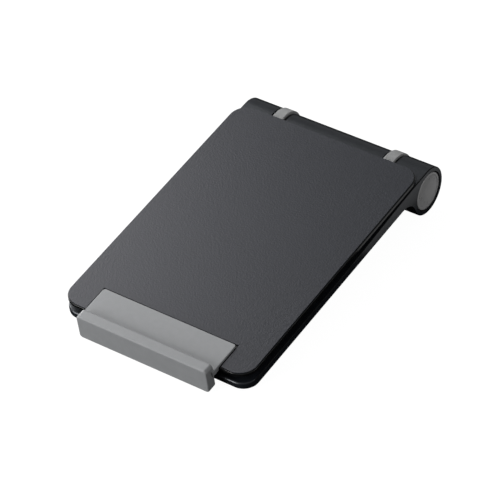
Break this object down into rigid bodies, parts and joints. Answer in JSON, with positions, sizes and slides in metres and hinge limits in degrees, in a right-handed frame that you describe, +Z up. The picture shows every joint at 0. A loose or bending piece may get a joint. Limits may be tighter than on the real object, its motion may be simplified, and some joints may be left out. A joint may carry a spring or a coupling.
{
  "type": "folding phone stand",
  "caption": "Folding desk stand for a phone: a flat rest plate with a soft grey lip, hinged to a leg plate by straps that turn in a friction barrel.",
  "frame": {"origin": "middle of the bounding box's bottom, on the table that the folded stand lies on", "axes": "+X across the stand to the right seen from the lip, +Y from the lip to the hinge barrel, +Z up. The two plates rise by 6.8 degrees towards +Y, because the folded stand lies on its lip and its barrel"},
  "size_m": [0.0804, 0.135, 0.0219],
  "materials": {
    "rest_sheet_charcoal": "fine matte charcoal",
    "rest_tray_black": "black, half gloss",
    "leg_black": "black, satin, finely grained",
    "lip_gray_rubber": "light grey, matte",
    "band_gray_rubber": "light grey, matte",
    "hinge_arm_gray": "grey, satin",
    "end_cap_gray": "mid grey, satin",
    "foot_black_rubber": "black, matte",
    "bumper_black_rubber": "black, matte",
    "shaft_steel": "ground",
    "bracket_steel": "zinc plated",
    "screw_steel": "dark plated",
    "washer_bronze": "dull",
    "spring_steel": "plain",
    "nut_steel": "zinc plated"
  },
  "bodies": {
    "leg": {"leg_shell": "leg_black", "leg_foot": "foot_black_rubber", "bumper_left": "bumper_black_rubber", "bumper_right": "bumper_black_rubber", "hinge_shaft": "shaft_steel", "end_cap_left": "end_cap_gray", "end_cap_right": "end_cap_gray", "friction_washer_left_inner": "washer_bronze", "friction_washer_left_outer": "washer_bronze", "friction_washer_right_inner": "washer_bronze", "friction_washer_right_outer": "washer_bronze", "disc_spring_left": "spring_steel", "disc_spring_right": "spring_steel", "shaft_nut_left": "nut_steel", "shaft_nut_right": "nut_steel"},
    "rest": {"rest_tray": "rest_tray_black", "rest_sheet": "rest_sheet_charcoal", "lip_pad": "lip_gray_rubber", "lip_bracket": "bracket_steel", "lip_screw_left": "screw_steel", "lip_screw_right": "screw_steel", "hinge_arm_left": "hinge_arm_gray", "hinge_arm_right": "hinge_arm_gray", "hinge_band_left": "band_gray_rubber", "hinge_band_right": "band_gray_rubber", "arm_screw_left_front": "screw_steel", "arm_screw_left_rear": "screw_steel", "arm_screw_right_front": "screw_steel", "arm_screw_right_rear": "screw_steel"}
  },
  "joints": [
    {"name": "rest_hinge", "type": "hinge", "parent": "leg", "child": "rest", "pos_m": [0, 0.05742, 0.01005], "axis": [-1, 0, 0], "range_deg": [0, 100]}
  ]
}
